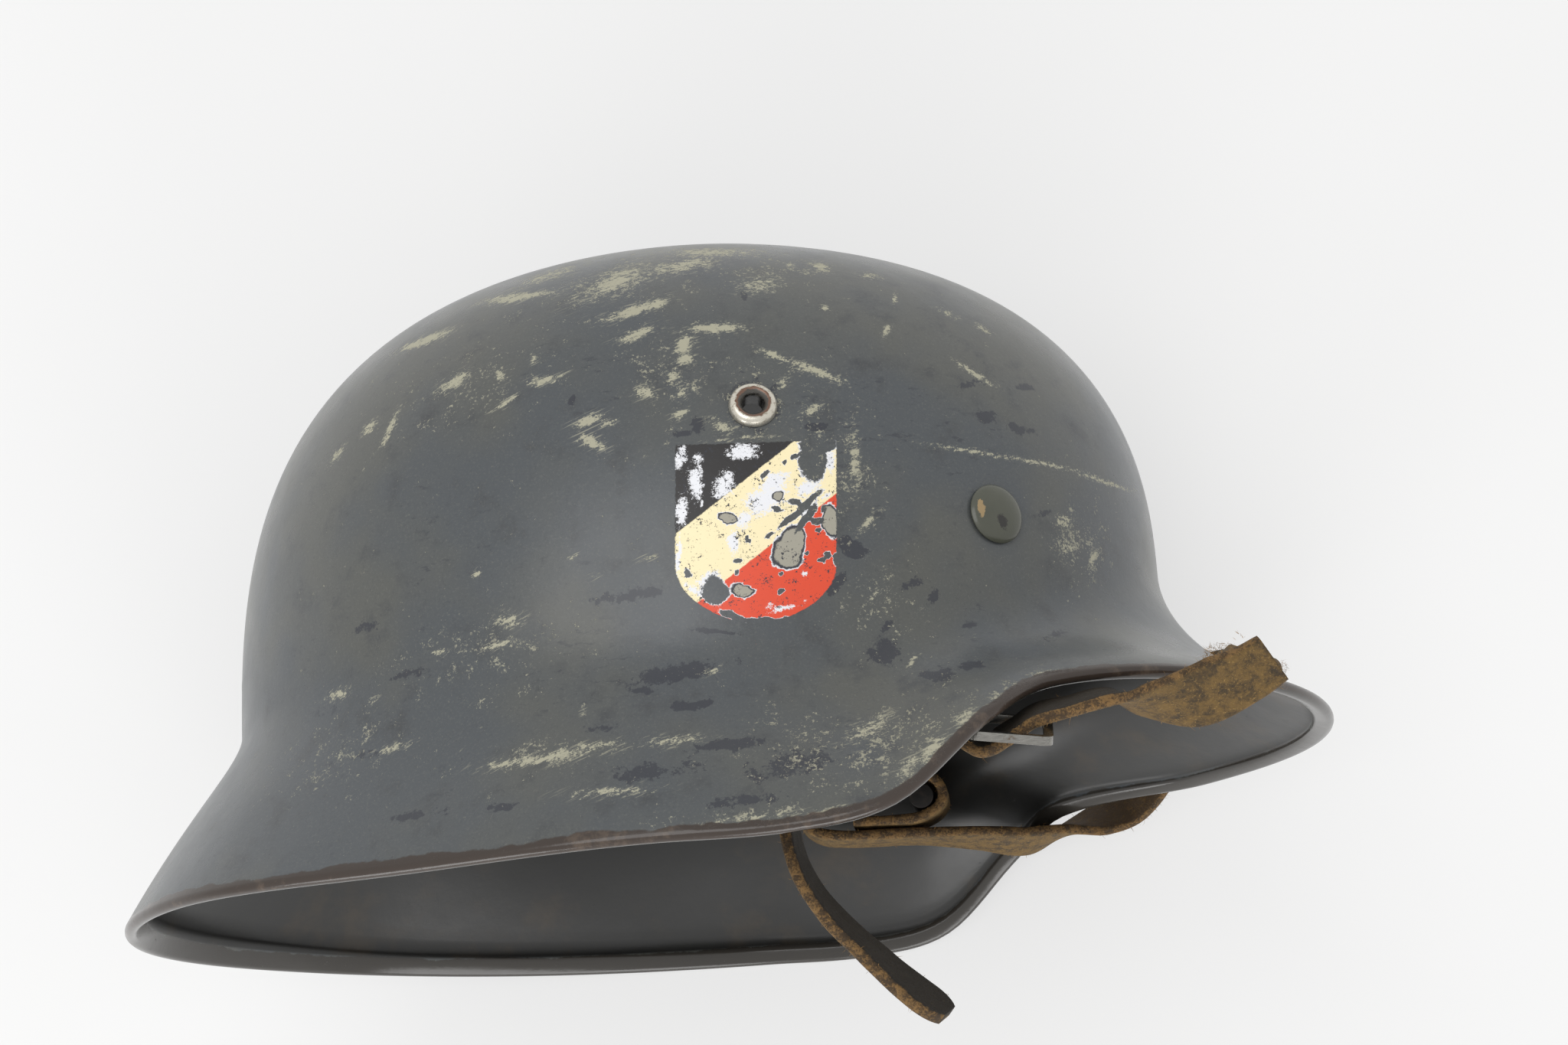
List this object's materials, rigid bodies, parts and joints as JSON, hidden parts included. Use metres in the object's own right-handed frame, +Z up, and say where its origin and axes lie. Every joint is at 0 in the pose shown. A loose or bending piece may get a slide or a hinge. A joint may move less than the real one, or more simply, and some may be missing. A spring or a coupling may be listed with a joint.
{
  "type": "military steel helmet",
  "caption": "Pressed steel military helmet with a peak, flared ear and neck guard, vent bushings, liner rivets and a leather chin strap, lying on its side.",
  "frame": {"origin": "on the surface that the helmet lies on, under the middle of the whole object's box", "axes": "+Z up; +X towards the peak at the helmet's front; +Y towards the crown; the helmet lies on its left side"},
  "size_m": [0.2852, 0.1836, 0.2208],
  "materials": {
    "painted_steel": "worn satin blue-grey paint over steel, chipped to bare metal and rust at the edge",
    "bare_steel": "worn bare steel",
    "painted_rivet": "worn olive-grey gloss paint",
    "strap_leather": "old strap leather, black grain side and brown flesh side",
    "plated_buckle": "dull plated wire"
  },
  "bodies": {
    "root": {"shell": "painted_steel", "vent_bushing_right": "bare_steel", "vent_bushing_left": "bare_steel", "liner_rivet_right": "painted_rivet", "liner_rivet_left": "painted_rivet", "liner_rivet_rear": "painted_rivet", "strap_post_right": "bare_steel", "strap_post_left": "bare_steel", "chin_strap_right": "strap_leather", "chin_strap_left": "strap_leather", "strap_buckle": "plated_buckle"}
  },
  "joints": []
}
